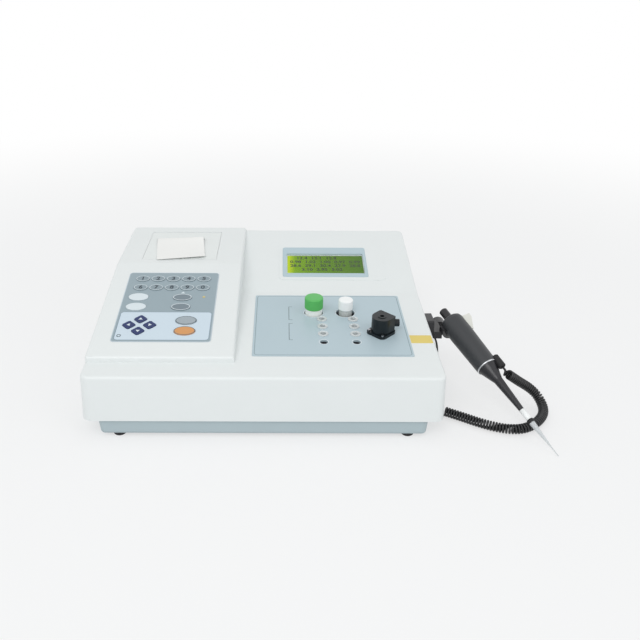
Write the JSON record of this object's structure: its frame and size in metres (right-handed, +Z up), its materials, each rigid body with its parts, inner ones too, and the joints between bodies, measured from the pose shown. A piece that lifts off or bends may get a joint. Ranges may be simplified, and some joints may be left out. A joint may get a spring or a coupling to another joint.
{
  "type": "coagulation analyzer",
  "caption": "Benchtop coagulation analyzer with keypad, display, thermal printer, incubation wells, optical head and a corded pipette in a side holder",
  "frame": {"origin": "under the middle of the whole object's footprint, at table height, measured without the cord", "axes": "+X to the user's right across the object's width, +Y to its rear, +Z up; it rests on Z = 0"},
  "size_m": [0.4783, 0.358, 0.1157],
  "materials": {
    "casing_white": "smooth off-white",
    "tray_white": "smooth light grey",
    "lid_white": "smooth off-white",
    "rubber_black": "matt",
    "screw_steel": "plain",
    "paper": "matt paper",
    "grey_plastic": "matt",
    "aluminium": "machined",
    "steel": "plain",
    "overlay_blue": "satin film",
    "board_green": "solder mask",
    "bezel_dark": "satin",
    "window_glass": "clear",
    "module_grey": "display face",
    "panel_blue_grey": "satin film",
    "clear_plastic": "clear",
    "bottle_white": "smooth",
    "cap_green": "knurled",
    "vial_clear": "clear",
    "cap_white": "smooth",
    "black_plastic": "satin",
    "grip_grey": "fine satin",
    "key_white": "satin",
    "key_navy": "satin",
    "key_orange": "satin",
    "key_grey": "satin"
  },
  "bodies": {
    "analyzer_body": {"top_casing": "casing_white", "base_tray": "tray_white", "feet": "rubber_black", "case_screws": "screw_steel", "roll_spindle": "grey_plastic", "printer_chassis": "grey_plastic", "thermal_head": "aluminium", "feed_motor": "steel", "keypad_overlay": "overlay_blue", "keypad_board": "board_green", "display_bezel": "bezel_dark", "display_window": "window_glass", "display_module": "module_grey", "incubator_panel": "panel_blue_grey", "heating_block": "aluminium", "cuvettes": "clear_plastic", "optical_head": "black_plastic", "head_screws": "screw_steel", "main_board": "board_green", "power_supply": "steel", "power_inlet": "black_plastic", "switch_housing": "black_plastic", "cord_gland": "black_plastic", "pipette_holder": "black_plastic", "handle_cord": "rubber_black"},
    "lid": {"printer_lid": "lid_white", "paper_tongue": "paper"},
    "roll": {"paper_roll": "paper"},
    "platen": {"platen_roller": "rubber_black"},
    "bottle": {"reagent_bottle": "bottle_white"},
    "bottle_lid": {"bottle_cap": "cap_green"},
    "vial": {"reagent_vial": "vial_clear"},
    "vial_lid": {"vial_cap": "cap_white"},
    "rocker": {"switch_rocker": "black_plastic"},
    "pipette": {"pipette_grip": "grip_grey", "pipette_nose": "black_plastic", "pipette_tip": "clear_plastic", "cord_boot": "rubber_black"},
    "plunger": {"pipette_plunger": "black_plastic"},
    "thumb": {"thumb_slider": "cap_white"},
    "key_1": {"key_1": "key_white"},
    "key_2": {"key_2": "key_white"},
    "key_3": {"key_3": "key_white"},
    "key_4": {"key_4": "key_white"},
    "key_5": {"key_5": "key_white"},
    "key_6": {"key_6": "key_white"},
    "key_7": {"key_7": "key_white"},
    "key_8": {"key_8": "key_white"},
    "key_9": {"key_9": "key_white"},
    "key_0": {"key_0": "key_white"},
    "key_print": {"key_print": "key_white"},
    "key_reset": {"key_reset": "key_white"},
    "key_menu": {"key_menu": "key_navy"},
    "key_test": {"key_test": "key_navy"},
    "key_enter": {"key_enter": "key_grey"},
    "key_cancel": {"key_cancel": "key_orange"},
    "key_up": {"key_up": "key_navy"},
    "key_down": {"key_down": "key_navy"},
    "key_left": {"key_left": "key_navy"},
    "key_right": {"key_right": "key_navy"}
  },
  "joints": [
    {"name": "lid_hinge", "type": "hinge", "parent": "analyzer_body", "child": "lid", "pos_m": [-0.15463, 0.15147, 0.11106], "axis": [-1, 0, 0], "range_deg": [0, 85]},
    {"name": "roll_spin", "type": "hinge", "parent": "analyzer_body", "child": "roll", "pos_m": [-0.16003, 0.08844, 0.0819], "axis": [1, 0, 0], "continuous": true},
    {"name": "platen_spin", "type": "hinge", "parent": "analyzer_body", "child": "platen", "pos_m": [-0.16003, 0.1286, 0.09559], "axis": [1, 0, 0], "continuous": true},
    {"name": "bottle_lift", "type": "slide", "parent": "analyzer_body", "child": "bottle", "axis": [0, -0.0732, 0.9973], "range_m": [0, 0.04]},
    {"name": "bottle_cap_off", "type": "slide", "parent": "bottle", "child": "bottle_lid", "axis": [0, -0.0732, 0.9973], "range_m": [0, 0.015]},
    {"name": "vial_lift", "type": "slide", "parent": "analyzer_body", "child": "vial", "axis": [0, -0.0732, 0.9973], "range_m": [0, 0.04]},
    {"name": "vial_cap_off", "type": "slide", "parent": "vial", "child": "vial_lid", "axis": [0, -0.0732, 0.9973], "range_m": [0, 0.015]},
    {"name": "power_rocker", "type": "hinge", "parent": "analyzer_body", "child": "rocker", "pos_m": [-0.12783, 0.17352, 0.04195], "axis": [-1, 0, 0], "range_deg": [-16, 0]},
    {"name": "pipette_lift", "type": "slide", "parent": "analyzer_body", "child": "pipette", "axis": [0, 0, 1], "range_m": [0, 0.04]},
    {"name": "plunger_press", "type": "slide", "parent": "pipette", "child": "plunger", "axis": [0.4166, -0.8294, -0.3722], "range_m": [0, 0.008], "stiffness_N_per_m": 400, "springref_m": -0.003},
    {"name": "thumb_press", "type": "slide", "parent": "pipette", "child": "thumb", "axis": [0.4166, -0.8294, -0.3722], "range_m": [0, 0.004], "stiffness_N_per_m": 800, "springref_m": -0.001},
    {"name": "key_1_press", "type": "slide", "parent": "analyzer_body", "child": "key_1", "axis": [0, 0.1925, -0.9813], "range_m": [0, 0.0005], "stiffness_N_per_m": 2000, "springref_m": -0.0003},
    {"name": "key_2_press", "type": "slide", "parent": "analyzer_body", "child": "key_2", "axis": [0, 0.1925, -0.9813], "range_m": [0, 0.0005], "stiffness_N_per_m": 2000, "springref_m": -0.0003},
    {"name": "key_3_press", "type": "slide", "parent": "analyzer_body", "child": "key_3", "axis": [0, 0.1925, -0.9813], "range_m": [0, 0.0005], "stiffness_N_per_m": 2000, "springref_m": -0.0003},
    {"name": "key_4_press", "type": "slide", "parent": "analyzer_body", "child": "key_4", "axis": [0, 0.1925, -0.9813], "range_m": [0, 0.0005], "stiffness_N_per_m": 2000, "springref_m": -0.0003},
    {"name": "key_5_press", "type": "slide", "parent": "analyzer_body", "child": "key_5", "axis": [0, 0.1925, -0.9813], "range_m": [0, 0.0005], "stiffness_N_per_m": 2000, "springref_m": -0.0003},
    {"name": "key_6_press", "type": "slide", "parent": "analyzer_body", "child": "key_6", "axis": [0, 0.1925, -0.9813], "range_m": [0, 0.0005], "stiffness_N_per_m": 2000, "springref_m": -0.0003},
    {"name": "key_7_press", "type": "slide", "parent": "analyzer_body", "child": "key_7", "axis": [0, 0.1925, -0.9813], "range_m": [0, 0.0005], "stiffness_N_per_m": 2000, "springref_m": -0.0003},
    {"name": "key_8_press", "type": "slide", "parent": "analyzer_body", "child": "key_8", "axis": [0, 0.1925, -0.9813], "range_m": [0, 0.0005], "stiffness_N_per_m": 2000, "springref_m": -0.0003},
    {"name": "key_9_press", "type": "slide", "parent": "analyzer_body", "child": "key_9", "axis": [0, 0.1925, -0.9813], "range_m": [0, 0.0005], "stiffness_N_per_m": 2000, "springref_m": -0.0003},
    {"name": "key_0_press", "type": "slide", "parent": "analyzer_body", "child": "key_0", "axis": [0, 0.1925, -0.9813], "range_m": [0, 0.0005], "stiffness_N_per_m": 2000, "springref_m": -0.0003},
    {"name": "key_print_press", "type": "slide", "parent": "analyzer_body", "child": "key_print", "axis": [0, 0.1925, -0.9813], "range_m": [0, 0.0005], "stiffness_N_per_m": 2000, "springref_m": -0.0003},
    {"name": "key_reset_press", "type": "slide", "parent": "analyzer_body", "child": "key_reset", "axis": [0, 0.1925, -0.9813], "range_m": [0, 0.0005], "stiffness_N_per_m": 2000, "springref_m": -0.0003},
    {"name": "key_menu_press", "type": "slide", "parent": "analyzer_body", "child": "key_menu", "axis": [0, 0.1925, -0.9813], "range_m": [0, 0.0005], "stiffness_N_per_m": 2000, "springref_m": -0.0003},
    {"name": "key_test_press", "type": "slide", "parent": "analyzer_body", "child": "key_test", "axis": [0, 0.1925, -0.9813], "range_m": [0, 0.0005], "stiffness_N_per_m": 2000, "springref_m": -0.0003},
    {"name": "key_enter_press", "type": "slide", "parent": "analyzer_body", "child": "key_enter", "axis": [0, 0.1925, -0.9813], "range_m": [0, 0.0005], "stiffness_N_per_m": 2000, "springref_m": -0.0003},
    {"name": "key_cancel_press", "type": "slide", "parent": "analyzer_body", "child": "key_cancel", "axis": [0, 0.1925, -0.9813], "range_m": [0, 0.0005], "stiffness_N_per_m": 2000, "springref_m": -0.0003},
    {"name": "key_up_press", "type": "slide", "parent": "analyzer_body", "child": "key_up", "axis": [0, 0.1925, -0.9813], "range_m": [0, 0.0005], "stiffness_N_per_m": 2000, "springref_m": -0.0003},
    {"name": "key_down_press", "type": "slide", "parent": "analyzer_body", "child": "key_down", "axis": [0, 0.1925, -0.9813], "range_m": [0, 0.0005], "stiffness_N_per_m": 2000, "springref_m": -0.0003},
    {"name": "key_left_press", "type": "slide", "parent": "analyzer_body", "child": "key_left", "axis": [0, 0.1925, -0.9813], "range_m": [0, 0.0005], "stiffness_N_per_m": 2000, "springref_m": -0.0003},
    {"name": "key_right_press", "type": "slide", "parent": "analyzer_body", "child": "key_right", "axis": [0, 0.1925, -0.9813], "range_m": [0, 0.0005], "stiffness_N_per_m": 2000, "springref_m": -0.0003}
  ],
  "couplings": [
    {"joint": "roll_spin", "follows": "platen_spin", "ratio": -0.3}
  ]
}
